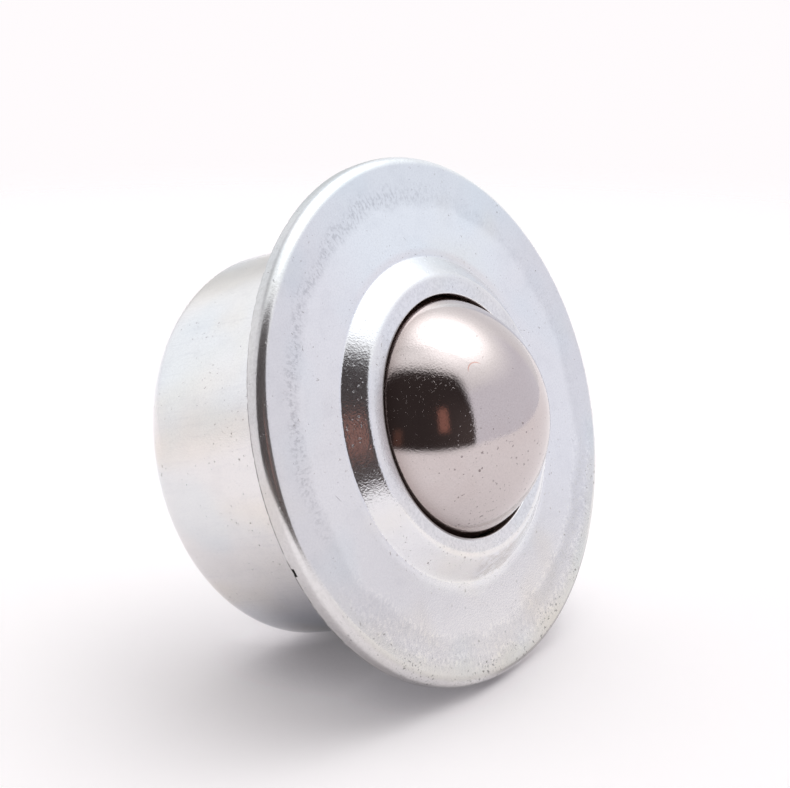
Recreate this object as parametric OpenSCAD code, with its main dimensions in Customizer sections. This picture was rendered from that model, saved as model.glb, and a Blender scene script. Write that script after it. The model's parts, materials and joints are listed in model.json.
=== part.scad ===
// Drop-in ball transfer unit.
// A load ball rolls on a bed of small bearing balls in a hardened race. The race stands
// in a deep-drawn steel cup, and a pressed cover with a raised crown closes the cup,
// keeps the balls in and wraps round the cup's flange. The unit drops into a round hole
// and hangs by its flange. It stands with its base on Z = 0, and its axis is Z.

/* [Load ball] */
// Diameter of the load ball
ball_d = 25.4; // [23:0.1:28]
// Depth of the load ball's centre below the face of the flange
ball_sink = 3.4; // [3:0.05:4.2]

/* [Bearing balls] */
// Diameter of a bearing ball
bearing_ball_d = 3.969; // [3.5:0.001:4.4]
// Play of a bearing ball against the load ball, and again against the race
ball_play = 0.05; // [0.03:0.01:0.1]
// Smallest gap between neighbouring bearing balls
ball_gap = 0.03; // [0.02:0.01:0.1]

/* [Race] */
// Radius of the flat that is ground under the race
race_seat_r = 4; // [3:0.1:6]
// Thickness of the race, from the bearing balls out to its rim
race_wall = 2.111; // [1.7:0.001:2.8]
// Gap between the race and the wall of the housing
race_fit = 0.12; // [0.05:0.01:0.3]

/* [Housing] */
// Thickness of the housing's sheet
housing_wall = 1; // [0.8:0.05:1.2]
// Inside radius of the bend between base and wall
base_bend_r = 2; // [1.5:0.1:3.5]
// Inside radius of the bend under the flange
flange_bend_r = 0.8; // [0.5:0.1:1.5]

/* [Cover] */
// Diameter of the flange, over the cover's skirt
flange_d = 52.5; // [49:0.1:60]
// Thickness of the cover's sheet
cover_wall = 1; // [0.8:0.05:1.2]
// Inside radius of the bend between the cover's face and its skirt
rim_bend_r = 0.15; // [0:0.05:0.3]
// Gap between the skirt and the edge of the housing's flange
skirt_fit = 0.05; // [0.02:0.01:0.1]
// Size of the chamfer under the housing's flange that the skirt is crimped round
crimp = 0.4; // [0.2:0.05:0.6]

/* [Crown] */
// Gap between the load ball and the lip that keeps it in
lip_gap = 0.15; // [0.1:0.05:0.4]
// Width of the flat lip on top of the crown
lip_w = 1.85; // [1.4:0.05:2.4]
// Radius of the lip's coined upper edge
lip_edge_r = 0.25; // [0.1:0.05:0.5]
// Radial width of the sloping side of the crown
slope_w = 2.2; // [1.8:0.05:3]
// Rise of the sloping side of the crown
slope_rise = 1.85; // [1.2:0.05:2.2]
// Inside radius of the bend between the slope and the lip
shoulder_bend_r = 0.5; // [0.2:0.05:0.8]
// Inside radius of the bend between the slope and the flange's face
crown_bend_r = 0.5; // [0:0.05:0.8]

/* [Hidden] */
$fn = 96;
rows = 6;
zinc = "#d3d6dc";
ball_steel = "#b9afb0";
hard_steel = "#8f9296";

ball_r = ball_d / 2;
bearing_ball_r = bearing_ball_d / 2;
flange_r = flange_d / 2;

// Race: it goes round the bearing balls, and the cup goes round it
race_r = ball_r + bearing_ball_d + 2 * ball_play;
race_outer_r = race_r + race_wall;
race_depth = sqrt(race_outer_r ^ 2 - race_seat_r ^ 2);
body_r = race_outer_r + race_fit + housing_wall;

// Heights above the base
ball_z = housing_wall + race_depth;
face_z = ball_z + ball_sink;
seat_z = face_z - cover_wall;
under_z = seat_z - housing_wall;
crown_z = face_z + slope_rise;
lip_foot_z = crown_z - cover_wall;

// Crown: the hole comes from the ball, and the crown's rings from the hole
hole_r = sqrt((ball_r + lip_gap) ^ 2 - (lip_foot_z - ball_z) ^ 2);
crown_top_r = hole_r + lip_w;
crown_foot_r = crown_top_r + slope_w;

// Bearing balls: the top row lies just under the cover and the rest follow below it
track_r = ball_r + ball_play + bearing_ball_r;
ball_pitch = bearing_ball_d + ball_gap;
row_pitch = 2 * asin(ball_pitch / 2 / track_r);
top_row_rise = ball_sink - cover_wall - bearing_ball_r - ball_gap;
top_row_angle = 90 + asin(top_row_rise / track_r);

// Direction from a to b
function direction(a, b) = (b - a) / norm(b - a);

// The direction turned a quarter turn to the left
function left(u) = [-u.y, u.x];

// 1 where the corner a, b, c turns left and -1 where it turns right
function turn(a, b, c) = cross(b - a, c - b) > 0 ? 1 : -1;

// Where the corner a, b, c goes when both its sides move by t to the left
function moved_corner(a, b, c, t) =
    let (m = left(direction(a, b)), n = left(direction(b, c)))
    b + t * (m + n) / (1 + m * n);

// The other face of a sheet of thickness t that lies to the left of a path
function other_face(path, t) = [
    for (i = [0 : len(path) - 1])
        i == 0 ? path[0] + t * left(direction(path[0], path[1])) :
        i == len(path) - 1 ? path[i] + t * left(direction(path[i - 1], path[i])) :
        moved_corner(path[i - 1], path[i], path[i + 1], t)];

// An arc of radius r in place of the corner a, b, c
function corner_arc(a, b, c, r) =
    let (
        u = direction(a, b),
        bend = acos(u * direction(b, c)),
        side = turn(a, b, c),
        start = b - u * r * tan(bend / 2),
        spoke = -side * r * left(u),
        centre = start - spoke,
        steps = ceil(bend / 6))
    [for (k = [0 : steps])
        let (w = side * bend * k / steps)
        centre + [spoke.x * cos(w) - spoke.y * sin(w), spoke.x * sin(w) + spoke.y * cos(w)]];

// A closed outline with its corners rounded, each to its own radius
function rounded(points, radii) =
    let (n = len(points))
    [for (i = [0 : n - 1])
        each radii[i] == 0 ? [points[i]] :
            corner_arc(points[(i + n - 1) % n], points[i], points[(i + 1) % n], radii[i])];

// Balls that fit in a ring of radius r
function ring_count(r) = r < ball_pitch / 2 ? 1 : floor(180 / asin(ball_pitch / 2 / r) + 0.001);

// Deep-drawn cup with a flat base and a flange
module housing() {
    flange_edge_r = flange_r - cover_wall - skirt_fit;
    outside = [[0, 0], [body_r, 0], [body_r, under_z], [flange_edge_r, under_z]];
    inside = other_face(outside, housing_wall);
    outline = [
        outside[0], outside[1], outside[2],
        [flange_edge_r - crimp, under_z], [flange_edge_r, under_z + crimp],
        inside[3], inside[2], inside[1], inside[0]];
    radii = [
        0, base_bend_r + housing_wall, flange_bend_r, 0, 0,
        rim_bend_r, flange_bend_r + housing_wall, base_bend_r, 0];
    color(zinc) rotate_extrude() polygon(rounded(outline, radii));
}

// Pressed cover: lip, crown, flat face, and a skirt crimped round the housing's flange
module cover() {
    top = [
        [hole_r, crown_z], [crown_top_r, crown_z], [crown_foot_r, face_z],
        [flange_r, face_z], [flange_r, under_z]];
    below = other_face(top, -cover_wall);
    skirt_r = flange_r - cover_wall;
    outline = [
        top[0], top[1], top[2], top[3], top[4],
        [skirt_r - crimp, under_z], [skirt_r, under_z + crimp],
        below[3], below[2], below[1], below[0]];
    radii = [
        lip_edge_r, shoulder_bend_r + cover_wall, crown_bend_r, rim_bend_r + cover_wall, 0,
        0, 0,
        rim_bend_r, crown_bend_r + cover_wall, shoulder_bend_r, 0];
    color(zinc) rotate_extrude() polygon(rounded(outline, radii));
}

// Hardened race: half a hollow ball on a ground flat, with a collar up to the cover
module race() {
    collar_h = seat_z - ball_z;
    color(hard_steel) translate([0, 0, ball_z]) rotate_extrude() difference() {
        union() {
            intersection() {
                circle(r = race_outer_r);
                translate([0, -race_depth]) square([race_outer_r, race_depth]);
            }
            square([race_outer_r, collar_h]);
        }
        circle(r = race_r);
        square([race_r, collar_h + 1]);
    }
}

module load_ball() {
    color(ball_steel) translate([0, 0, ball_z]) sphere(d = ball_d);
}

// One ring of bearing balls, counted from the bottom of the race
module bearing_row(row) {
    angle = top_row_angle - (rows - row) * row_pitch;
    ring_r = track_r * sin(angle);
    count = ring_count(ring_r);
    stagger = row % 2 == 0 ? 0 : 180 / count;
    color(ball_steel)
        for (k = [0 : count - 1])
            rotate(stagger + 360 * k / count)
                translate([ring_r, 0, ball_z - track_r * cos(angle)])
                    sphere(d = bearing_ball_d, $fn = 48);
}

housing();
cover();
race();
load_ball();
bearing_row(1);  // bearing_balls_row_1
bearing_row(2);  // bearing_balls_row_2
bearing_row(3);  // bearing_balls_row_3
bearing_row(4);  // bearing_balls_row_4
bearing_row(5);  // bearing_balls_row_5
bearing_row(6);  // bearing_balls_row_6
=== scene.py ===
"""Looks of the ball transfer unit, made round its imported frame.

Lengths are metres, in the frame of the part: base on Z = 0, axis along Z. Names that end in
_MM are millimetres. The unit lies on its side on the studio floor, on the back edge of its
rim and the rounded corner of its base, so the floor is tilted and the unit is not.
"""

import json
import math

import bmesh
import bpy
from mathutils import Matrix, Vector, noise


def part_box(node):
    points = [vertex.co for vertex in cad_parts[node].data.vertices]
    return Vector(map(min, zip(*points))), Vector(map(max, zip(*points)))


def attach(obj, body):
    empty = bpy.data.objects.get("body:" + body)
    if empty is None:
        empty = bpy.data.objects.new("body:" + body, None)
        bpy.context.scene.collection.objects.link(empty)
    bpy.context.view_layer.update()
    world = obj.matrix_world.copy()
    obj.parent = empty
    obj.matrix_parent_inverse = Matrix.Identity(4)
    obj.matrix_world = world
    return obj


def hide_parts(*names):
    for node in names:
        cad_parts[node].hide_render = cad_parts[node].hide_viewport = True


MM = 0.001

# Sheet metal, as in the part's source but for the lip, whose gap to the ball is narrower and
# whose edge is sharper, and the skirt's rounded back edge
SHEET_MM = 1.0
BASE_CORNER_MM = 3.0
FLANGE_BEND_MM = 0.8
SKIRT_FIT_MM = 0.05
CRIMP_MM = 0.4
RIM_RADIUS_MM = 1.15
LIP_GAP_MM = 0.06
LIP_WIDTH_MM = 1.85
LIP_EDGE_MM = 0.14
SLOPE_WIDTH_MM = 2.2
SLOPE_RISE_MM = 1.85
SHOULDER_RADIUS_MM = 1.5
CROWN_RADIUS_MM = 0.5
EDGE_RADIUS_MM = 0.15

# Camera: pitch above the floor, heading from the unit's axis, distance from the point that it
# aims at, lens, and how far that point lies right of and above the middle of the face
CAMERA_PITCH = math.radians(17.82)
CAMERA_HEADING = math.radians(53.65)
CAMERA_DISTANCE = 0.17711
CAMERA_LENS_MM = 82.03
FRAMING_RIGHT = -0.00535
FRAMING_UP = 0.00231

PAPER_WHITE = (1.0, 0.965, 0.98)

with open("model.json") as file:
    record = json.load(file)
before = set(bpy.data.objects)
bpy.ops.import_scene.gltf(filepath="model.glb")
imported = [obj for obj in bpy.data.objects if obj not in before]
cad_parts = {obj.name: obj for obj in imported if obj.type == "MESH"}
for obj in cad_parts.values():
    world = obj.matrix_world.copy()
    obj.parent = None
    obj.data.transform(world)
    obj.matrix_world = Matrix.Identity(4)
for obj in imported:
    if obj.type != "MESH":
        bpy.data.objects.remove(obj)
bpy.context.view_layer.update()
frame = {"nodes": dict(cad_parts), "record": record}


def mount(name):
    """The record's mount of that name."""
    return next(m for m in frame["record"]["mounts"] if m["name"] == name)


flange_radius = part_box("cover")[1].x
body_radius = mount("body_spigot")["dims"]["r_mm"] * MM
under_z = mount("flange_seat")["pos_m"][2]
ball_low, ball_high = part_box("load_ball")
ball_radius = (ball_high.z - ball_low.z) / 2
ball_z = (ball_high.z + ball_low.z) / 2
face_z = under_z + 2 * SHEET_MM * MM


# ---------------------------------------------------------------- studio


def lying_tilt():
    """Angle between the unit's axis and the floor it lies on."""
    corner = BASE_CORNER_MM * MM
    reach = Vector((flange_radius - body_radius + corner, under_z - corner))
    return math.atan2(reach.x, reach.y) - math.asin(corner / reach.length)


tilt = lying_tilt()
floor_up = Vector((0, -math.cos(tilt), math.sin(tilt)))
floor_along = Vector((0, math.sin(tilt), math.cos(tilt)))
rim_contact = Vector((0, flange_radius, under_z))
front = math.cos(CAMERA_HEADING) * floor_along + math.sin(CAMERA_HEADING) * Vector((1, 0, 0))
rightward = floor_up.cross(front)


def axes_matrix(x, y, z, origin):
    """The matrix that puts the axes x, y and z at origin."""
    rows = [[x[i], y[i], z[i], origin[i]] for i in range(3)]
    return Matrix(rows + [[0, 0, 0, 1]])


def make_camera():
    """The camera that looks down on the lying unit from the front right."""
    toward = math.cos(CAMERA_PITCH) * front + math.sin(CAMERA_PITCH) * floor_up
    right = floor_up.cross(toward).normalized()
    up = toward.cross(right)
    aim = Vector((0, 0, face_z)) + FRAMING_RIGHT * right + FRAMING_UP * up
    data = bpy.data.cameras.new("studio_camera")
    data.lens = CAMERA_LENS_MM
    data.clip_start = 0.01
    camera = bpy.data.objects.new("studio_camera", data)
    camera.matrix_world = axes_matrix(right, up, toward, aim + toward * CAMERA_DISTANCE)
    bpy.context.scene.collection.objects.link(camera)
    bpy.context.scene.camera = camera


class Nodes:
    """Short calls for building one node tree."""

    def __init__(self, tree):
        self.tree = tree
        tree.nodes.clear()

    def add(self, kind, settings=None, **inputs):
        """A node of that kind, with its settings and its inputs set or linked."""
        node = self.tree.nodes.new(kind)
        for key, value in (settings or {}).items():
            setattr(node, key, value)
        for key, value in inputs.items():
            self.put(node.inputs[key.replace("_", " ")], value)
        return node

    def put(self, socket, value):
        """Links value to the socket if it is a socket, and otherwise sets it."""
        if isinstance(value, bpy.types.NodeSocket):
            self.tree.links.new(value, socket)
        else:
            socket.default_value = value

    def math(self, operation, *values):
        """One Math node."""
        node = self.tree.nodes.new("ShaderNodeMath")
        node.operation = operation
        for socket, value in zip(node.inputs, values):
            self.put(socket, value)
        return node.outputs[0]

    def total(self, *values):
        """The sum of the values."""
        result = values[0]
        for value in values[1:]:
            result = self.math("ADD", result, value)
        return result

    def product(self, *values):
        """The product of the values."""
        result = values[0]
        for value in values[1:]:
            result = self.math("MULTIPLY", result, value)
        return result

    def vector(self, operation, *values):
        """One Vector Math node."""
        node = self.tree.nodes.new("ShaderNodeVectorMath")
        node.operation = operation
        for socket, value in zip(node.inputs, values):
            self.put(socket, value)
        scalar = operation in ("DOT_PRODUCT", "LENGTH", "DISTANCE")
        return node.outputs["Value" if scalar else "Vector"]

    def dot(self, vector, direction):
        """The dot product of a vector and a fixed direction."""
        return self.vector("DOT_PRODUCT", vector, tuple(direction))

    def ramp(self, value, start, end, low=0.0, high=1.0, smooth=True):
        """value taken from the range start to end into the range low to high."""
        node = self.add(
            "ShaderNodeMapRange",
            {"interpolation_type": "SMOOTHSTEP" if smooth else "LINEAR"},
            Value=value, From_Min=start, From_Max=end, To_Min=low, To_Max=high)
        return node.outputs[0]

    def between(self, value, low, high, soft):
        """1 where value lies between low and high, with borders that are soft each way."""
        return self.product(
            self.ramp(value, low - soft, low + soft), self.ramp(value, high + soft, high - soft))

    def mix(self, share, first, second, blend="MIX"):
        """A colour mixed from two, first where share is 0."""
        node = self.tree.nodes.new("ShaderNodeMix")
        node.data_type = "RGBA"
        node.blend_type = blend
        self.put(node.inputs[0], share)
        self.put(node.inputs[6], first)
        self.put(node.inputs[7], second)
        return node.outputs[2]

    def scaled(self, place, factors):
        """The place with each coordinate times its factor."""
        return self.vector("MULTIPLY", place, factors)

    def shifted(self, place, offset):
        """The place moved, so that a pattern differs from its neighbour."""
        return self.vector("ADD", place, (offset, 0.6 * offset, 1.7 * offset))

    def noise(self, place, size, detail, roughness=0.5):
        """Smooth noise from 0 to 1 whose features are about size apart."""
        return self.add(
            "ShaderNodeTexNoise", {"noise_dimensions": "3D"}, Vector=place, Scale=1 / size,
            Detail=detail, Roughness=roughness).outputs[0]

    def cells(self, place, spacing):
        """The outputs of a pattern of irregular cells about spacing apart."""
        return self.add(
            "ShaderNodeTexVoronoi", {"feature": "F1", "voronoi_dimensions": "3D"},
            Vector=place, Scale=1 / spacing).outputs

    def specks(self, place, spacing, radius, share):
        """1 in round specks of up to radius, in a share of the cells spacing apart."""
        cells = self.cells(place, spacing)
        parts = self.add("ShaderNodeSeparateColor", Color=cells["Color"]).outputs
        reach = self.math("MULTIPLY_ADD", parts[0], 0.7 * radius / spacing, 0.3 * radius / spacing)
        near = self.math("DIVIDE", cells["Distance"], reach)
        chosen = self.math("LESS_THAN", parts[1], share)
        return self.math("MULTIPLY", self.ramp(near, 1.0, 0.7), chosen)

    def flakes(self, place, size, bias):
        """1 in scattered ragged specks, more of them where bias is higher."""
        value = self.math("ADD", self.noise(place, size, 3, 0.6), bias)
        return self.ramp(value, 0.71, 0.76)

    def domes(self, place, spacing):
        """Small round dents, spacing apart, from 0 in their middles."""
        return self.math("POWER", self.cells(place, spacing)["Distance"], 2)

    def dashes(self, place, along, stretch, spacing, width, share):
        """1 in thin scratches along a direction, stretch times as long as wide."""
        along = Vector(along).normalized()
        excess = self.dot(place, along * (1 - 1 / stretch))
        squeezed = self.vector(
            "SUBTRACT", place, self.vector("MULTIPLY", excess, tuple(along)))
        return self.specks(squeezed, spacing, width, share)

    def shaded(self, reach, samples):
        """How open a place is to its surroundings within reach, from 0 to 1."""
        node = self.add("ShaderNodeAmbientOcclusion", {"samples": samples}, Distance=reach)
        return node.outputs["AO"]

    def mixed(self, share, first, second):
        """The output of a shader mixed from two, first where share is 0."""
        node = self.tree.nodes.new("ShaderNodeMixShader")
        for socket, value in zip(node.inputs, (share, first.outputs[0], second.outputs[0])):
            self.put(socket, value)
        return node

    def surface(self, kind, shader):
        """Makes the shader the tree's surface, at an output node of that kind."""
        self.put(self.add(kind).inputs["Surface"], shader.outputs[0])


# The studio's walls, and patches of them, each with its colour. A patch goes from one heading
# to another, right of the front, and from one elevation to another, and then come the softness
# of its sides and of its top and bottom, all in degrees.
WALL_COLOUR = (0.93, 0.92, 0.94)
WALL_PATCHES = (
    ((-200, 200, 62, 100, 1, 10), (1.12, 1.12, 1.12)),
    ((46, 140, -40, 37, 4, 6), (0.86, 0.85, 0.915)),
    ((-168, -92, 8, 36, 8, 8), (1.06, 1.06, 1.06)),
    ((-210, -150, -4, 20, 8, 6), (0.72, 0.72, 0.72)),
    ((-122, -58, 42, 62, 8, 8), (0.72, 0.72, 0.72)),
)
# Patches in front of the dark opening, given in the same way
BROWN_SPOTS = (
    ((14, 23, 9, 29, 2, 3), (0.31, 0.145, 0.115)),
    ((-26, -19, -4, 10, 2, 3), (0.14, 0.075, 0.06)),
)

# The key light: its direction, and the angles from its middle where it ends and is full
KEY_HEADING = 129
KEY_ELEVATION = 67
KEY_LEVEL = 2.7
KEY_RIM = (34, 6)
HALO_LEVEL = 1.28
HALO_RIM = (50, 24)

# The dark opening beyond the camera, on a plane at distance 1 that faces the unit
OPENING_HEADING = -6
OPENING_MIDDLE = (0.0, 0.75)
OPENING_HALF = (1.29, 1.5)
OPENING_CORNER = 0.32
OPENING_LEAN = 0.1
OPENING_SOFTNESS = 0.05
OPENING_SOFTNESS_RISE = 0.12
OPENING_COLOUR = (0.044, 0.034, 0.033)
OPENING_LOW_RIGHT_COLOUR = (0.085, 0.067, 0.064)


def studio_direction(heading, elevation):
    """The direction at a heading and an elevation, in degrees."""
    heading, elevation = math.radians(heading), math.radians(elevation)
    level = math.cos(heading) * front + math.sin(heading) * rightward
    return math.cos(elevation) * level + math.sin(elevation) * floor_up


def make_world():
    """Studio walls by direction: white paper with a dark opening on the camera's side."""
    world = bpy.data.worlds.new("studio")
    bpy.context.scene.world = world
    world.use_nodes = True
    n = Nodes(world.node_tree)
    direction = n.add("ShaderNodeTexCoord").outputs["Generated"]
    rise = n.dot(direction, floor_up)
    elevation = n.math("DEGREES", n.math("ARCSINE", rise))
    heading = n.math(
        "DEGREES", n.math("ARCTAN2", n.dot(direction, rightward), n.dot(direction, front)))

    def window(left, right, low, high, soft_side, soft_edge):
        """1 inside a rectangle of headings and elevations, with soft borders."""
        return n.product(
            n.ramp(heading, left - soft_side, left + soft_side),
            n.ramp(heading, right + soft_side, right - soft_side),
            n.ramp(elevation, low - soft_edge, low + soft_edge),
            n.ramp(elevation, high + soft_edge, high - soft_edge))

    off_key = n.math(
        "DEGREES",
        n.math("ARCCOSINE", n.dot(direction, studio_direction(KEY_HEADING, KEY_ELEVATION))))
    ahead = n.dot(direction, studio_direction(OPENING_HEADING, 0))
    ahead_only = n.math("MAXIMUM", ahead, 0.01)
    side = n.math(
        "DIVIDE", n.dot(direction, studio_direction(OPENING_HEADING + 90, 0)), ahead_only)
    height = n.math("DIVIDE", rise, ahead_only)
    leaning = n.math("MULTIPLY_ADD", height, -OPENING_LEAN, side)
    past = [
        n.math("SUBTRACT", n.math("ABSOLUTE", n.math("SUBTRACT", at, middle)),
               half - OPENING_CORNER)
        for at, middle, half in zip((leaning, height), OPENING_MIDDLE, OPENING_HALF)]
    outside = [n.math("POWER", n.math("MAXIMUM", p, 0), 2) for p in past]
    border = n.total(
        n.math("SQRT", n.total(*outside)),
        n.math("MINIMUM", n.math("MAXIMUM", *past), 0), -OPENING_CORNER)
    soft = n.math(
        "MULTIPLY_ADD", n.math("POWER", height, 2), OPENING_SOFTNESS_RISE, OPENING_SOFTNESS)
    opening = n.math(
        "MULTIPLY", n.ramp(border, soft, n.math("MULTIPLY", soft, -1)), n.ramp(ahead, 0.02, 0.06))
    dark = n.mix(
        n.math("MULTIPLY", n.ramp(side, 0.0, 1.2), n.ramp(height, 1.2, 0.1)),
        (*OPENING_COLOUR, 1), (*OPENING_LOW_RIGHT_COLOUR, 1))

    colour = (*WALL_COLOUR, 1)
    for place, wall in WALL_PATCHES:
        colour = n.mix(window(*place), colour, (*wall, 1))
    for rim, level in ((HALO_RIM, HALO_LEVEL), (KEY_RIM, KEY_LEVEL)):
        colour = n.mix(n.ramp(off_key, *rim), colour, (level, level, level, 1))
    colour = n.mix(opening, colour, dark)
    for place, brown in BROWN_SPOTS:
        colour = n.mix(window(*place), colour, (*brown, 1))
    studio = n.add("ShaderNodeBackground", Color=colour)
    paper = n.add("ShaderNodeBackground", Color=(*PAPER_WHITE, 1))
    camera_ray = n.add("ShaderNodeLightPath").outputs["Is Camera Ray"]
    n.surface("ShaderNodeOutputWorld", n.mixed(camera_ray, studio, paper))


# The white sheet: how far it goes each way, where a camera stops seeing it, and the shade
# painted on it beside the unit, from where it is full to where it ends
FLOOR_LEFT = -2.0
FLOOR_RIGHT = 0.28
FLOOR_BACK = -2.0
FLOOR_FRONT = 0.37
FLOOR_FADE_START = 0.17
FLOOR_FADE_END = 0.27
FLOOR_COLOUR = (0.94, 0.915, 0.92)
FLOOR_GLOW = 0.125
CONTACT_SHADE_COLOUR = (0.4, 0.38, 0.41)
CONTACT_REACH = 0.009
CONTACT_OPENNESS = (0.1, 0.85)

# To the right of the rim's foot the sheet is open to the light
OPEN_SIDE = (-0.002, 0.0025)
OPEN_SHARE = 0.85

# The light that the cup throws back on the sheet: to the right of and ahead of the rim
CUP_GLOW = 0.08
CUP_GLOW_MIDDLE = (-0.0226, -0.0085)
CUP_GLOW_REACH = (0.0065, 0.0035)

# How far ahead of the rim the sheet starts to fade in the metal's reflections, and ends
SHEET_END = (0.1, 0.3)


def make_floor():
    """A white sheet under the lying unit, open to a camera that looks from below it."""
    corners = [
        rim_contact + x * rightward + y * front
        for x, y in (
            (FLOOR_LEFT, FLOOR_BACK), (FLOOR_LEFT, FLOOR_FRONT),
            (FLOOR_RIGHT, FLOOR_FRONT), (FLOOR_RIGHT, FLOOR_BACK))]
    mesh = bpy.data.meshes.new("studio_floor")
    mesh.from_pydata(corners, [], [(3, 2, 1, 0)])
    if mesh.polygons[0].normal.dot(floor_up) < 0:
        mesh.flip_normals()
    floor = bpy.data.objects.new("studio_floor", mesh)
    bpy.context.scene.collection.objects.link(floor)

    material = bpy.data.materials.new("studio_paper")
    material.use_nodes = True
    n = Nodes(material.node_tree)
    place = n.add("ShaderNodeTexCoord").outputs["Object"]
    ahead = n.math("SUBTRACT", n.dot(place, front), rim_contact.dot(front))
    aside = n.math("SUBTRACT", n.dot(place, rightward), rim_contact.dot(rightward))
    # Painted shade: the sheet's colour darkens where the unit closes it in, but not right of the
    # rim's foot
    lit_share = n.math(
        "MAXIMUM", n.ramp(n.shaded(CONTACT_REACH, samples=6), *CONTACT_OPENNESS),
        n.ramp(aside, *OPEN_SIDE, 0.0, OPEN_SHARE))
    colour = n.mix(lit_share, (*CONTACT_SHADE_COLOUR, 1), (*FLOOR_COLOUR, 1))
    paper = n.add("ShaderNodeBsdfDiffuse", Color=colour)
    from_middle = [
        n.math("POWER", n.math("DIVIDE", n.math("SUBTRACT", at, middle), reach), 2)
        for at, middle, reach in zip((aside, ahead), CUP_GLOW_MIDDLE, CUP_GLOW_REACH)]
    thrown = n.ramp(n.total(*from_middle), 1.0, 0.0, 0.0, CUP_GLOW, smooth=False)
    glow = n.add(
        "ShaderNodeEmission", Color=(*PAPER_WHITE, 1),
        Strength=n.math("ADD", thrown, FLOOR_GLOW))
    lit = n.add("ShaderNodeAddShader")
    n.put(lit.inputs[0], paper.outputs[0])
    n.put(lit.inputs[1], glow.outputs[0])
    far = n.ramp(n.vector("LENGTH", place), FLOOR_FADE_START, FLOOR_FADE_END)
    behind = n.add("ShaderNodeNewGeometry").outputs["Backfacing"]
    camera_ray = n.add("ShaderNodeLightPath").outputs["Is Camera Ray"]
    sheet_end = n.math(
        "MULTIPLY", n.ramp(ahead, *SHEET_END), n.math("SUBTRACT", 1, camera_ray))
    hidden = n.math(
        "MULTIPLY_ADD", camera_ray, n.math("MAXIMUM", far, behind), sheet_end)
    clear = n.add("ShaderNodeBsdfTransparent")
    n.surface("ShaderNodeOutputMaterial", n.mixed(hidden, lit, clear))
    floor.data.materials.append(material)


# ---------------------------------------------------------------- meshes


def turned_left(u):
    """The flat direction u, a quarter turn to the left."""
    return Vector((-u.y, u.x))


ARC_STEP = math.radians(4)


def rounded(corners, radii):
    """A closed outline with its corners replaced by arcs, each of its own radius."""
    outline = []
    count = len(corners)
    for i, radius in enumerate(radii):
        before, corner, after = corners[i - 1], corners[i], corners[(i + 1) % count]
        u = (corner - before).normalized()
        v = (after - corner).normalized()
        bend = math.atan2(u.x * v.y - u.y * v.x, u.dot(v))
        if radius == 0 or abs(bend) < 1e-6:
            outline.append(corner)
            continue
        side = math.copysign(1, bend)
        start = corner - u * radius * math.tan(abs(bend) / 2)
        centre = start + side * radius * turned_left(u)
        steps = max(2, math.ceil(abs(bend) / ARC_STEP))
        spoke = start - centre
        for k in range(steps + 1):
            turn = bend * k / steps
            outline.append(centre + Vector((
                spoke.x * math.cos(turn) - spoke.y * math.sin(turn),
                spoke.x * math.sin(turn) + spoke.y * math.cos(turn))))
    return outline


def filled(outline, gap):
    """The outline with points added, so that no side is longer than gap."""
    points = []
    for i, point in enumerate(outline):
        after = outline[(i + 1) % len(outline)]
        parts = max(1, math.ceil((after - point).length / gap))
        points += [point.lerp(after, k / parts) for k in range(parts)]
    return points


def revolve(name, outline, segments, surface):
    """A solid turned round the Z axis from a closed outline, which surface changes on its way."""
    points, faces = [], []
    for k in range(segments):
        angle = 2 * math.pi * k / segments
        for p in outline:
            radius, height = surface(p.x, p.y, angle)
            points.append((radius * math.cos(angle), radius * math.sin(angle), height))
    count = len(outline)
    for k in range(segments):
        for i in range(count):
            a = k * count + i
            b = k * count + (i + 1) % count
            c = ((k + 1) % segments) * count + (i + 1) % count
            d = ((k + 1) % segments) * count + i
            faces.append((a, b, c, d))
    return piece_from(name, points, faces)


SHARP_ANGLE = math.radians(35)
SAME_POINT = 1e-8


def piece_from(name, points, faces):
    """A smooth-shaded object with its sharp edges kept and points in one place merged."""
    mesh = bpy.data.meshes.new(name)
    mesh.from_pydata(points, [], faces)
    merged = bmesh.new()
    merged.from_mesh(mesh)
    bmesh.ops.remove_doubles(merged, verts=merged.verts, dist=SAME_POINT)
    merged.to_mesh(mesh)
    merged.free()
    mesh.shade_smooth()
    mesh.set_sharp_from_angle(angle=SHARP_ANGLE)
    piece = bpy.data.objects.new(name, mesh)
    bpy.context.scene.collection.objects.link(piece)
    return piece


# Segments round each pressed piece, cells along a side of the ball's six squares, the longest
# step along an outline, and how deep and how fine the sheet's unevenness is
COVER_SEGMENTS = 540
HOUSING_SEGMENTS = 360
BALL_CELLS = 96
COVER_STEP_MM = 0.6
HOUSING_STEP_MM = 1.6
UNEVEN_MM = 0.02
UNEVEN_SCALE = 90
HOUSING_SEED = 9


def unevenness(radius, height, angle, seed):
    """How far a pressed sheet lies below its true form at a place, from 0 to 1."""
    place = Vector((radius * math.cos(angle), radius * math.sin(angle), height))
    return 0.5 + 0.5 * noise.noise(place * UNEVEN_SCALE + Vector((seed, 0, 0)))


# Nicks in the skirt's edge: coarse and fine ripples round it, of which the highest cut in
NICK_RIPPLES = 34
FINE_RIPPLES = 90
FINE_SHARE = 0.6
NICK_THRESHOLD = 0.15
NICK_DEPTH_MM = 0.16
NICK_REACH_MM = 0.3
CHIP_ANGLE = math.radians(16.5)
CHIP_HALF = math.radians(0.9)
CHIP_DEPTH_MM = 0.1


def sheared_edge(angle):
    """How deep the skirt's sheared edge is nicked at an angle."""
    ring = Vector((math.cos(angle), math.sin(angle), 0))
    fine = noise.noise(ring * FINE_RIPPLES + Vector((0, 0, 7)))
    torn = noise.noise(ring * NICK_RIPPLES) + FINE_SHARE * fine
    depth = NICK_DEPTH_MM * max(0, torn - NICK_THRESHOLD)
    away = abs(math.remainder(angle - CHIP_ANGLE, 2 * math.pi)) / CHIP_HALF
    return (depth + CHIP_DEPTH_MM * max(0, 1 - away)) * MM


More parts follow.
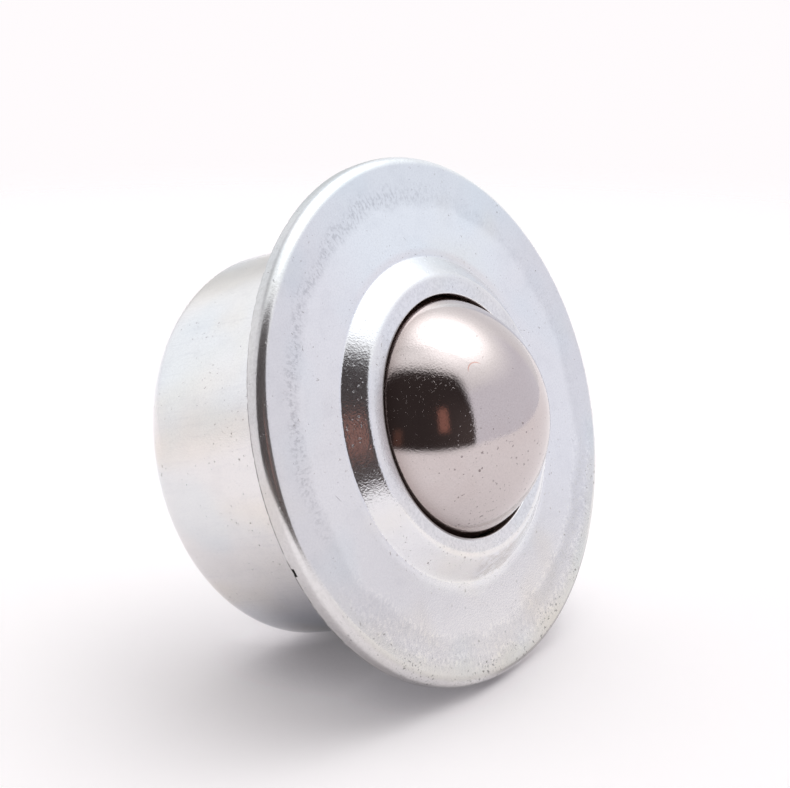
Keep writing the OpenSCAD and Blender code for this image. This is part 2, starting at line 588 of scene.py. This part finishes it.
def cover_surface(radius, height, angle):
    """The cover's outline at an angle: its sheet is uneven and its back edge is nicked."""
    reach = NICK_REACH_MM * MM
    near_edge = max(0, 1 - (height - under_z) / reach) * (radius > flange_radius - reach)
    height += near_edge * sheared_edge(angle)
    radius -= near_edge * sheared_edge(angle) / 2
    height -= UNEVEN_MM * MM * unevenness(radius, 0, angle, 0) * (height > face_z - reach)
    return radius, height


def housing_surface(radius, height, angle):
    """The housing's outline at an angle: its drawn wall is uneven."""
    sink = UNEVEN_MM * MM * unevenness(radius, height, angle, HOUSING_SEED)
    return radius - sink * (radius > body_radius - SHEET_MM * MM), height


def make_cover():
    """The pressed cover: lip, crown, flat face, and a skirt round the housing's flange."""
    sheet = SHEET_MM * MM
    crown_z = face_z + SLOPE_RISE_MM * MM
    reach = ball_radius + LIP_GAP_MM * MM
    hole_radius = math.sqrt(reach ** 2 - (crown_z - sheet - ball_z) ** 2)
    crown_top = hole_radius + LIP_WIDTH_MM * MM
    crown_foot = crown_top + SLOPE_WIDTH_MM * MM
    bend_shift = sheet * math.tan(math.atan2(SLOPE_RISE_MM, SLOPE_WIDTH_MM) / 2)
    skirt = flange_radius - sheet
    crimp = CRIMP_MM * MM
    corners = [
        (hole_radius, crown_z), (crown_top, crown_z), (crown_foot, face_z),
        (flange_radius, face_z), (flange_radius, under_z),
        (skirt - crimp, under_z), (skirt, under_z + crimp),
        (skirt, face_z - sheet), (crown_foot - bend_shift, face_z - sheet),
        (crown_top - bend_shift, crown_z - sheet), (hole_radius, crown_z - sheet)]
    radii_mm = [
        LIP_EDGE_MM, SHOULDER_RADIUS_MM, CROWN_RADIUS_MM, RIM_RADIUS_MM, EDGE_RADIUS_MM,
        0, 0, RIM_RADIUS_MM - SHEET_MM, CROWN_RADIUS_MM + SHEET_MM,
        SHOULDER_RADIUS_MM - SHEET_MM, 0]
    outline = rounded([Vector(c) for c in corners], [r * MM for r in radii_mm])
    piece = revolve(
        "pressed_cover", filled(outline, COVER_STEP_MM * MM), COVER_SEGMENTS, cover_surface)
    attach(piece, "casing")
    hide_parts("cover")
    return piece


def make_housing():
    """The deep-drawn cup: flat base, rounded corner, straight wall and a flange."""
    sheet = SHEET_MM * MM
    edge = flange_radius - (SHEET_MM + SKIRT_FIT_MM) * MM
    crimp = CRIMP_MM * MM
    seat_z = under_z + sheet
    corners = [
        (0, 0), (body_radius, 0), (body_radius, under_z),
        (edge - crimp, under_z), (edge, under_z + crimp), (edge, seat_z),
        (body_radius - sheet, seat_z), (body_radius - sheet, sheet), (0, sheet)]
    radii_mm = [
        0, BASE_CORNER_MM, FLANGE_BEND_MM, 0, 0, 0,
        FLANGE_BEND_MM + SHEET_MM, BASE_CORNER_MM - SHEET_MM, 0]
    outline = rounded([Vector(c) for c in corners], [r * MM for r in radii_mm])
    piece = revolve(
        "drawn_cup", filled(outline, HOUSING_STEP_MM * MM), HOUSING_SEGMENTS, housing_surface)
    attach(piece, "casing")
    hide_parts("housing")
    return piece


def make_load_ball():
    """The load ball, from six curved squares of even cells."""
    spread = [math.tan(math.pi / 4 * (2 * i / BALL_CELLS - 1)) for i in range(BALL_CELLS + 1)]
    points, faces, found = [], [], {}

    def point(direction):
        key = tuple(round(x, 7) for x in direction)
        if key not in found:
            found[key] = len(points)
            points.append(Vector((0, 0, ball_z)) + direction * ball_radius)
        return found[key]

    for axis in range(3):
        for sign in (-1, 1):
            grid = []
            for u in spread:
                row = []
                for v in spread:
                    cube = [u * sign, v]
                    cube.insert(axis, sign)
                    row.append(point(Vector(cube).normalized()))
                grid.append(row)
            for i in range(BALL_CELLS):
                for j in range(BALL_CELLS):
                    faces.append(
                        (grid[i][j], grid[i + 1][j], grid[i + 1][j + 1], grid[i][j + 1]))
    piece = piece_from("rolling_ball", points, faces)
    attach(piece, "load_ball")
    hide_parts("load_ball")
    return piece


# ---------------------------------------------------------------- materials


class Metal:
    """A metal's node tree, with its colour, roughness and relief gathered in layers."""

    def __init__(self, name, colour, roughness):
        self.material = bpy.data.materials.new(name)
        self.material.use_nodes = True
        self.n = Nodes(self.material.node_tree)
        at = self.n.add("ShaderNodeTexCoord").outputs["Object"]
        self.place = self.n.scaled(at, (1000, 1000, 1000))
        self.colour = (*colour, 1)
        self.roughness = roughness
        self.relief = 0.0
        self.bare = 1.0

    def at(self, seed):
        """The place moved by a seed, so that no pattern repeats another."""
        return self.n.shifted(self.place, seed)

    def patches(self, seed, size, detail, start, end):
        """Patches about size across, from 0 where their noise is start to 1 where it is end."""
        return self.n.ramp(self.n.noise(self.at(seed), size, detail), start, end)

    def tint(self, share, colour):
        """Multiplies the colour by another where share is 1."""
        self.colour = self.n.mix(share, self.colour, (*colour, 1), "MULTIPLY")

    def soil_and_shade(self, share, colour, amount=1.0):
        """Covers the metal with a flat colour where share is 1, for dirt, films and painted shade.
        """
        share = self.n.math("MULTIPLY", share, amount)
        self.colour = self.n.mix(share, self.colour, (*colour, 1))
        self.bare = self.n.math("MULTIPLY", self.bare, self.n.math("SUBTRACT", 1, share))

    def dull(self, share, amount):
        """Adds to the roughness where share is 1."""
        self.roughness = self.n.math("MULTIPLY_ADD", share, amount, self.roughness)

    def raise_by(self, share, height_mm):
        """Adds to the relief where share is 1."""
        self.relief = self.n.math("MULTIPLY_ADD", share, height_mm, self.relief)

    def finish(self):
        """Puts the gathered layers on one metallic shader."""
        relief = self.n.add("ShaderNodeBump", Height=self.relief, Distance=MM, Strength=1.0)
        shader = self.n.add(
            "ShaderNodeBsdfPrincipled", Base_Color=self.colour, Metallic=self.bare,
            Roughness=self.roughness, Normal=relief.outputs[0])
        self.n.surface("ShaderNodeOutputMaterial", shader)
        return self.material


GRAIN_MM = 0.006
PIT_MM = 0.012

# Faint clouds in the zinc: seed, size, detail, and the noise where they start and are full
ZINC_CLOUDS = (
    ((31, 9, 1.5, 0.55, 0.78), (1.0, 0.98, 0.94)),
    ((57, 2.2, 3, 0.45, 0.8), (0.955, 0.955, 0.96)),
)

# Hairlines in the zinc: direction, stretch, spacing, and the share of cells that have one
ZINC_HAIRLINES = (
    ((0.9, 0.4, 0), 6, 0.6, 0.1),
    ((0.6, -0.8, 0), 14, 1.0, 0.14),
    ((0.2, 1, 0.3), 5, 0.6, 0.1),
)


class Zinc(Metal):
    """Bright zinc plating: clouds, grain, pits and hairlines, as on every plated piece."""

    def __init__(self, name, colour, roughness):
        super().__init__(name, colour, roughness)
        n = self.n
        x, y, self.height = n.add("ShaderNodeSeparateXYZ", Vector=self.place).outputs
        self.angle = n.math("DEGREES", n.math("ARCTAN2", y, x))
        self.radius = n.math("SQRT", n.total(n.math("POWER", x, 2), n.math("POWER", y, 2)))

        clouds = n.noise(self.place, 11, 1.5)
        self.tint(n.ramp(clouds, 0.5, 0.72), (0.95, 0.985, 1.0))
        self.dull(n.ramp(clouds, 0.35, 0.7), 0.06)
        for cloud, colour in ZINC_CLOUDS:
            self.tint(self.patches(*cloud), colour)
        grain = n.noise(self.at(12), 0.2, 2, 0.6)
        self.tint(n.ramp(grain, 0.35, 0.75), (0.95, 0.95, 0.955))
        self.raise_by(grain, GRAIN_MM)
        self.raise_by(n.noise(self.at(3), 0.09, 0), 0.5 * GRAIN_MM)

        worn = self.patches(83, 6, 2, 0.42, 0.66)
        pits = n.product(
            n.flakes(self.at(9), 0.42, n.math("MULTIPLY_ADD", worn, 0.035, 0.02)),
            n.ramp(worn, 0, 1, 0.6, 1))
        self.tint(pits, (0.6, 0.58, 0.57))
        self.dull(pits, 0.2)
        self.raise_by(pits, -PIT_MM)
        flecks = n.specks(self.at(19), 0.55, 0.1, 0.16)
        self.tint(flecks, (0.8, 0.8, 0.82))
        self.dull(flecks, 0.25)
        for along, stretch, spacing, share in ZINC_HAIRLINES:
            lines = n.dashes(self.at(stretch), along, stretch, spacing, 0.05, share)
            self.tint(lines, (0.66, 0.65, 0.66))

    def facing(self, middle, low, high):
        """1 on the side that lies at the angle middle, from the cosines low to high."""
        away = self.n.math("RADIANS", self.n.math("SUBTRACT", self.angle, middle))
        return self.n.ramp(self.n.math("COSINE", away), low, high)


# Rings of the cover by their radius in millimetres: the inner and outer border of each, or
# where it starts and is full
CROWN_RING = (11, 17.2)
HOLE_END = (12.16, 12.09)
LIP_EDGE_END = (12.32, 12.2)
LIP_RING = (12.1, 13.6)
SLOPE_RING = (13.9, 16.2)
SLOPE_FOOT_RING = (16.1, 17.1)
FACE_START = (16.5, 17.2)
SLOPE_FOOT_HIGHLIGHT_RING = (16.8, 18.8)
OUTER_START = (22.2, 23.4)
RUBBED_RING = (22.2, 25.8)
CRUMBS_START = (22.8, 25.4)
PRESS_RING = (22.9, 24.3)
YELLOWED_START = (24.6, 26.2)
RIM_START = (25.2, 25.8)
FAR_EDGE_RING = (25.5, 25.85)
BACK_EDGE_START = (25.6, 25.9)
SKIRT_START = (25.9, 26.15)

# Sides of the cover: the angle about its axis in degrees, 90 where it lies on the sheet, and
# the cosines of the angles from there at which the side starts and is full
FOOT_SIDE = (95, 0.1, 0.8)
WARM_SIDE = (50, -0.3, 0.7)
FACE_SHADE_SIDE = (80, 0.2, 0.9)
HIGH_FACE_SIDE = (-100, 0.6, 0.95)
PRESSED_SIDES = ((-45, 0.35, 0.9), (132, 0.85, 0.97))
FAR_EDGE_SIDE = (108, 0.86, 0.95)
RIM_SHADE_SIDE = (45, 0.85, 0.97)
RIM_HIGHLIGHT_SIDE = (88, 0.88, 0.98)
BACK_EDGE_SIDE = (25, 0.5, 0.95)
LIP_EDGE_SIDE = (5, 0.2, 0.7)
SLOPE_SHADE_SIDE = (90, 0.96, 0.995)
SLOPE_FOOT_HIGHLIGHT_SIDE = (75, 0.85, 0.98)

# How far the ragged borders near the rim wander
WANDER_MM = 2.4
WANDER_SIZE_MM = 3.2

# The press's strokes: their width, where they are drawn to scale, and how they stretch
STROKE_MM = 0.3
STROKE_RADIUS_MM = 23
STROKE_SQUEEZE = 0.42

# Round dents in the crown's slope: seed, spacing and depth
SLOPE_DENTS = ((91, 0.17, 0.005), (92, 0.28, 0.006))


class CoverZinc(Zinc):
    """Zinc on the cover, with the wear of each of its rings and painted shade and highlights."""

    def __init__(self):
        super().__init__("zinc_plated_cover", (0.85, 0.862, 0.88), 0.13)
        n = self.n
        self.face_mm = face_z / MM
        self.under_mm = under_z / MM
        self.wandering = n.math(
            "MULTIPLY_ADD", n.noise(self.at(140), WANDER_SIZE_MM, 2), WANDER_MM, self.radius)
        self.foot = self.facing(*FOOT_SIDE)
        self.top = n.ramp(self.height, self.face_mm - 0.25, self.face_mm - 0.05)
        self.add_face()
        self.add_press_ring()
        self.add_rim()
        self.add_back_edge()
        self.add_gap_shade()
        self.add_crumbs()
        self.add_crown()
        self.add_slope()

    def add_face(self):
        """One side of the face warmer, painted shade on its low part and its high part brighter.
        """
        n = self.n
        self.tint(self.facing(*WARM_SIDE), (0.985, 0.96, 0.935))
        face = n.ramp(self.radius, *FACE_START)
        # Painted shade on the face's low part, on the side towards the sheet
        self.tint(n.product(face, self.facing(*FACE_SHADE_SIDE)), (0.905, 0.9, 0.9))
        self.tint(n.product(face, self.facing(*HIGH_FACE_SIDE)), (1.03, 1.08, 1.085))

    def add_press_ring(self):
        """The press's strokes near the rim, rubbed bright where the unit lies."""
        n = self.n
        around = n.add(
            "ShaderNodeCombineXYZ", X=n.product(self.angle, math.radians(STROKE_RADIUS_MM)),
            Y=n.product(self.radius, STROKE_SQUEEZE)).outputs[0]
        streaks = n.math(
            "MULTIPLY_ADD", n.noise(self.at(8), 0.5, 3, 0.6), 0.5,
            n.product(n.noise(around, STROKE_MM, 2, 0.6), 0.5))
        pressed = n.math("MAXIMUM", *(self.facing(*side) for side in PRESSED_SIDES))
        strokes = n.product(
            n.between(self.wandering, *PRESS_RING, 0.7), self.top,
            n.math("MULTIPLY_ADD", pressed, 0.75, 0.25), n.ramp(streaks, 0.46, 0.6))
        self.tint(strokes, (0.78, 0.78, 0.79))
        self.dull(strokes, 0.12)
        rubbed = n.product(self.foot, n.between(self.wandering, *RUBBED_RING, 0.6))
        self.tint(n.product(rubbed, n.ramp(streaks, 0.5, 0.6)), (1.13, 1.13, 1.1))
        self.tint(n.product(rubbed, n.ramp(streaks, 0.5, 0.42)), (0.93, 0.93, 0.93))
        outer = n.product(n.ramp(self.wandering, *OUTER_START), self.top)
        self.tint(outer, (0.915, 0.915, 0.92))

    def add_rim(self):
        """The rounded rim, duller, with painted shade, a painted highlight and a thin painted dark
        far edge, and the skirt below it.
        """
        n = self.n
        skirt = n.product(
            n.ramp(self.radius, *SKIRT_START),
            n.ramp(self.height, self.under_mm + 1.5, self.under_mm + 1.1))
        self.tint(skirt, (0.8, 0.79, 0.79))
        rim = n.ramp(self.radius, *RIM_START)
        self.dull(rim, 0.05)
        self.tint(n.product(rim, self.patches(48, 0.35, 3, 0.4, 0.65)), (0.93, 0.93, 0.925))
        # Painted shade on one side of the rim
        self.tint(n.product(rim, self.facing(*RIM_SHADE_SIDE)), (0.93, 0.925, 0.92))
        # Painted shade in a thin line on the rim's far edge, near where it lies on the sheet
        far_edge_shade = n.product(
            n.between(self.radius, *FAR_EDGE_RING, 0.12), self.facing(*FAR_EDGE_SIDE))
        self.tint(far_edge_shade, (0.5, 0.48, 0.48))
        self.soil_and_shade(rim, (0.85, 0.83, 0.9), 0.1)
        # A painted highlight on the rim where it lies on the sheet
        self.tint(n.product(rim, self.facing(*RIM_HIGHLIGHT_SIDE)), (1.14, 1.14, 1.13))

    def add_back_edge(self):
        """A dark line of dirt and painted shade along the skirt's back edge, and the chip in it.
        """
        n = self.n
        outermost = n.ramp(self.radius, *BACK_EDGE_START)
        # Dirt and painted shade along the back edge, broken into dashes and darker on one side
        back_edge = n.product(
            outermost, n.ramp(self.height, self.under_mm + 0.26, self.under_mm + 0.12),
            self.patches(66, 0.9, 2, 0.3, 0.55),
            n.math("MULTIPLY_ADD", self.facing(*BACK_EDGE_SIDE), 0.8, 0.2))
        self.tint(back_edge, (0.22, 0.21, 0.21))
        off_chip = n.math("ABSOLUTE", n.math("SUBTRACT", self.angle, math.degrees(CHIP_ANGLE)))
        chip = n.product(
            n.ramp(off_chip, 1.0, 0.85), outermost,
            n.ramp(self.height, self.under_mm + 0.5, self.under_mm + 0.42))
        self.tint(chip, (0.03, 0.03, 0.03))
        self.dull(chip, 0.4)

    def add_gap_shade(self):
        """Painted shade in the gap round the ball: dark brown on the wall of the hole, and a line
        on the lip's edge.
        """
        n = self.n
        crown_mm = self.face_mm + SLOPE_RISE_MM
        # Painted shade: dark brown on the wall of the hole, seen in the gap round the ball
        wall = n.product(
            n.ramp(self.radius, *HOLE_END), n.ramp(self.height, crown_mm - 0.1, crown_mm - 0.3))
        self.soil_and_shade(wall, (0.13, 0.09, 0.075))
        # Painted shade in a line on the lip's edge, on one side
        lip_edge = n.product(
            n.ramp(self.radius, *LIP_EDGE_END),
            n.ramp(self.height, self.face_mm, self.face_mm + 0.3), self.facing(*LIP_EDGE_SIDE))
        self.soil_and_shade(lip_edge, (0.16, 0.13, 0.12), 0.8)

    def add_crumbs(self):
        """Clusters of dark crumbs towards the rim, most of them where the unit lies."""
        n = self.n
        yellowed = n.product(n.ramp(self.wandering, *YELLOWED_START), self.foot, self.top)
        self.tint(yellowed, (0.985, 0.985, 0.94))
        where = n.product(
            n.ramp(self.wandering, *CRUMBS_START), n.math("MULTIPLY_ADD", self.foot, 0.7, 0.3))
        clusters = n.ramp(n.noise(self.at(71), 3.5, 2), 0.35, 0.65, -0.02, 0.07)
        bias = n.math("MULTIPLY_ADD", where, 0.05, n.product(where, clusters))
        crumbs = n.product(n.flakes(self.at(7), 0.3, bias), where)
        self.tint(crumbs, (0.42, 0.41, 0.4))
        self.raise_by(crumbs, -PIT_MM)

    def add_crown(self):
        """Marks all over the crown and round the slope's foot, and the grain of the lip."""
        n = self.n
        foot_marks = n.product(
            n.between(self.radius, *SLOPE_FOOT_RING, 0.25),
            n.specks(self.at(33), 0.34, 0.08, 0.45), self.patches(2, 4, 1, 0.45, 0.6))
        self.tint(foot_marks, (0.6, 0.57, 0.55))
        marks = n.product(
            n.specks(self.at(44), 0.5, 0.1, 0.35), n.between(self.radius, *CROWN_RING, 0.3))
        self.tint(marks, (0.62, 0.61, 0.6))
        self.dull(marks, 0.2)
        lip = n.between(self.radius, *LIP_RING, 0.3)
        self.tint(n.product(lip, self.patches(5, 0.3, 3, 0.4, 0.65)), (0.92, 0.92, 0.925))

    def add_slope(self):
        """The crown's slope: bluer, dented, with dull sparks, streaked painted shade low down, and
        a painted highlight round its foot.
        """
        n = self.n
        slope = n.between(self.radius, *SLOPE_RING, 0.2)
        self.tint(slope, (0.965, 0.975, 1.0))
        self.soil_and_shade(slope, (0.75, 0.8, 0.95), 0.045)
        streaked = n.noise(n.scaled(self.place, (0.5, 1, 1)), 0.5, 2)
        # Streaked painted shade on the slope's low side, towards the sheet
        low_slope_shade = n.product(
            slope, self.facing(*SLOPE_SHADE_SIDE), n.ramp(streaked, 0.4, 0.6))
        self.tint(low_slope_shade, (0.86, 0.84, 0.82))
        # A painted highlight round the slope's foot on its low side
        foot_highlight = n.product(
            n.between(self.wandering, *SLOPE_FOOT_HIGHLIGHT_RING, 0.4), self.facing(*SLOPE_FOOT_HIGHLIGHT_SIDE))
        self.tint(foot_highlight, (1.05, 1.055, 1.04))
        for seed, spacing, depth_mm in SLOPE_DENTS:
            self.raise_by(n.product(slope, n.domes(self.at(seed), spacing)), depth_mm)
        self.dull(n.product(slope, n.specks(self.at(27), 0.35, 0.09, 0.3)), 0.4)


# Sides of the cup, as for the cover, and how its draw lines and bands stretch up the wall
CUP_WARM_SIDE = (8, 0.75, 0.98)
CUP_SHADE_SIDE = (80, 0.6, 0.95)
DRAW_RADIUS_MM = 20
DRAW_STRETCH = 0.05
BAND_STRETCH = (1, 1, 0.35)


def cup_zinc():
    """Zinc on the cup: faint draw lines up the wall, warm and cool bands round it, painted shade
    and a painted highlight.
    """
    metal = Zinc("zinc_plated_cup", (0.84, 0.838, 0.86), 0.17)
    n = metal.n
    wall = n.ramp(metal.radius, body_radius / MM - 0.6, body_radius / MM - 0.2)
    drawn = n.add(
        "ShaderNodeCombineXYZ", X=n.product(metal.angle, math.radians(DRAW_RADIUS_MM)),
        Y=n.product(metal.height, DRAW_STRETCH)).outputs[0]
    lines = n.noise(drawn, 0.5, 3, 0.6)
    metal.raise_by(n.product(wall, lines), 0.0025)
    bands = n.noise(n.scaled(metal.place, BAND_STRETCH), 7.5, 1)
    # The last colour here is painted shade on the side of the wall towards the sheet
    for share, colour in (
            (n.ramp(lines, 0.5, 0.8), (0.95, 0.95, 0.96)),
            (n.ramp(bands, 0.5, 0.7), (1.0, 0.975, 0.93)),
            (n.ramp(bands, 0.48, 0.3), (0.94, 0.955, 0.98)),
            (metal.facing(*CUP_WARM_SIDE), (0.945, 0.925, 0.9)),
            (metal.facing(*CUP_SHADE_SIDE), (0.68, 0.7, 0.72))):
        metal.tint(n.product(wall, share), colour)
    # Painted shade on the flange's edge, in the crevice under the cover's skirt
    flange_edge_shade = n.product(
        n.ramp(metal.radius, 24.6, 24.9),
        n.ramp(metal.height, face_z / MM - 0.8, face_z / MM - 1.1))
    metal.tint(flange_edge_shade, (0.12, 0.11, 0.11))
    # A painted highlight on the base's bend
    base_bend_highlight = n.product(n.ramp(metal.height, 1.9, 0.9), n.ramp(metal.radius, 17.2, 18.2))
    metal.tint(base_bend_highlight, (1.17, 1.17, 1.14))
    return metal.finish()


# How far from the lip the ball lies in its shade
CREVICE_REACH = 0.0022

# Where the ball is most pitted and most rubbed, and the middle and radius of a thin curved
# reflection painted on it
BRUISE_SIDE = Vector((0.25, 0.52, 0.82))
RUBBED_SIDE = Vector((0.71, -0.51, 0.49))
ARC_REFLECTION_MIDDLE = (4.0, -4.6, 30.6)
ARC_REFLECTION_RADIUS = 0.9
ARC_REFLECTION_HALF_WIDTH = 0.05

# Small dull spots on the ball: seed, spacing and radius
BALL_SPARKS = ((61, 0.7, 0.1), (17, 0.45, 0.07), (74, 1.3, 0.13))


def ball_metal():
    """Polished steel of the load ball, with fine grain, pits, a few scratches, painted shade and a
    painted reflection.
    """
    metal = Metal("polished_ball_steel", (0.605, 0.55, 0.545), 0.075)
    n, place = metal.n, metal.place
    from_middle = n.vector("SUBTRACT", place, (0, 0, ball_z / MM))

    def toward(side, low, high):
        """1 on the ball's side in a direction, from the cosines low to high."""
        return n.ramp(n.dot(from_middle, side.normalized() / (ball_radius / MM)), low, high)

    # Painted shade on the ball near the lip
    metal.tint(n.ramp(n.shaded(CREVICE_REACH, samples=4), 0.99, 0.6), (0.6, 0.54, 0.52))
    grain = n.noise(place, 0.16, 2, 0.6)
    metal.tint(n.ramp(grain, 0.35, 0.75), (0.91, 0.905, 0.905))
    metal.raise_by(grain, 0.003)
    clouds = n.noise(metal.at(24), 5, 2)
    metal.tint(n.ramp(clouds, 0.45, 0.75), (0.97, 0.955, 0.95))
    metal.dull(n.ramp(clouds, 0.35, 0.75), 0.03)
    for seed, spacing, radius in BALL_SPARKS:
        metal.dull(n.specks(metal.at(seed), spacing, radius, 0.5), 0.35)

    bruised = n.math("MULTIPLY_ADD", toward(BRUISE_SIDE, 0.75, 0.95), 0.9, 0.1)
    lone = n.dashes(metal.at(37), (0.3, -0.2, 1), 1.8, 0.9, 0.16, 0.35)
    ragged = n.flakes(metal.at(52), 0.38, n.product(bruised, 0.06))
    pits = n.product(n.math("MAXIMUM", lone, ragged), bruised)
    metal.tint(pits, (0.45, 0.42, 0.42))
    metal.raise_by(pits, -0.02)

    # A painted reflection: a thin reddish curved line on one side of the ball
    arc_reflection = n.product(
        n.between(
            n.vector("DISTANCE", place, ARC_REFLECTION_MIDDLE), ARC_REFLECTION_RADIUS - ARC_REFLECTION_HALF_WIDTH,
            ARC_REFLECTION_RADIUS + ARC_REFLECTION_HALF_WIDTH, ARC_REFLECTION_HALF_WIDTH),
        n.ramp(n.dot(n.vector("SUBTRACT", place, ARC_REFLECTION_MIDDLE), (0.2, -0.9, 0)), 0.2, 0.6))
    metal.tint(arc_reflection, (0.85, 0.55, 0.48))
    for seed, along in ((35, (0.8, 0.6, 0)), (80, (0.9, -0.3, 0.3))):
        metal.tint(n.dashes(metal.at(seed), along, 5, 0.7, 0.06, 0.15), (0.72, 0.7, 0.7))

    rubbed = toward(RUBBED_SIDE, 0.88, 0.97)
    dents = n.product(n.domes(metal.at(90), 0.2), n.math("MULTIPLY_ADD", rubbed, 0.8, 0.2))
    metal.raise_by(dents, 0.005)
    level = RUBBED_SIDE.cross(Vector((0, 0, 1))).normalized()
    upward = level.cross(RUBBED_SIDE).normalized()
    for seed, along in ((11, level + upward), (43, level - upward), (58, level - 0.4 * upward)):
        lines = n.dashes(metal.at(seed), along, 14, 0.17, 0.04, 0.75)
        metal.dull(n.product(lines, rubbed), 0.35)
    return metal.finish()


def bed_metal(name, colour):
    """Oiled hardened steel, as inside the unit."""
    metal = Metal(name, colour, 0.34)
    n = metal.n
    metal.soil_and_shade(metal.patches(21, 1.6, 2, 0.3, 0.7), (0.2, 0.14, 0.115), 0.7)
    film = n.noise(metal.place, 2.4, 3)
    metal.tint(n.ramp(film, 0.4, 0.7), (0.7, 0.6, 0.5))
    metal.dull(film, 0.12)
    metal.raise_by(n.noise(metal.at(15), 0.3, 2), 0.004)
    return metal.finish()


bpy.context.scene.view_settings.view_transform = "Standard"
make_camera()
make_world()
make_floor()
cover = make_cover()
housing = make_housing()
load_ball = make_load_ball()

zinc_cover, zinc_cup, ball_steel = CoverZinc().finish(), cup_zinc(), ball_metal()
bearing_steel = bed_metal("oiled_bearing_steel", (0.2, 0.165, 0.15))
race_steel = bed_metal("oiled_race_steel", (0.13, 0.105, 0.095))
LOOKS = {"cover": zinc_cover, "housing": zinc_cup, "load_ball": ball_steel, "race": race_steel}
for node, cad in frame["nodes"].items():
    cad.data.materials.clear()
    cad.data.materials.append(LOOKS.get(node, bearing_steel))
for piece, look in ((cover, zinc_cover), (housing, zinc_cup), (load_ball, ball_steel)):
    piece.data.materials.append(look)
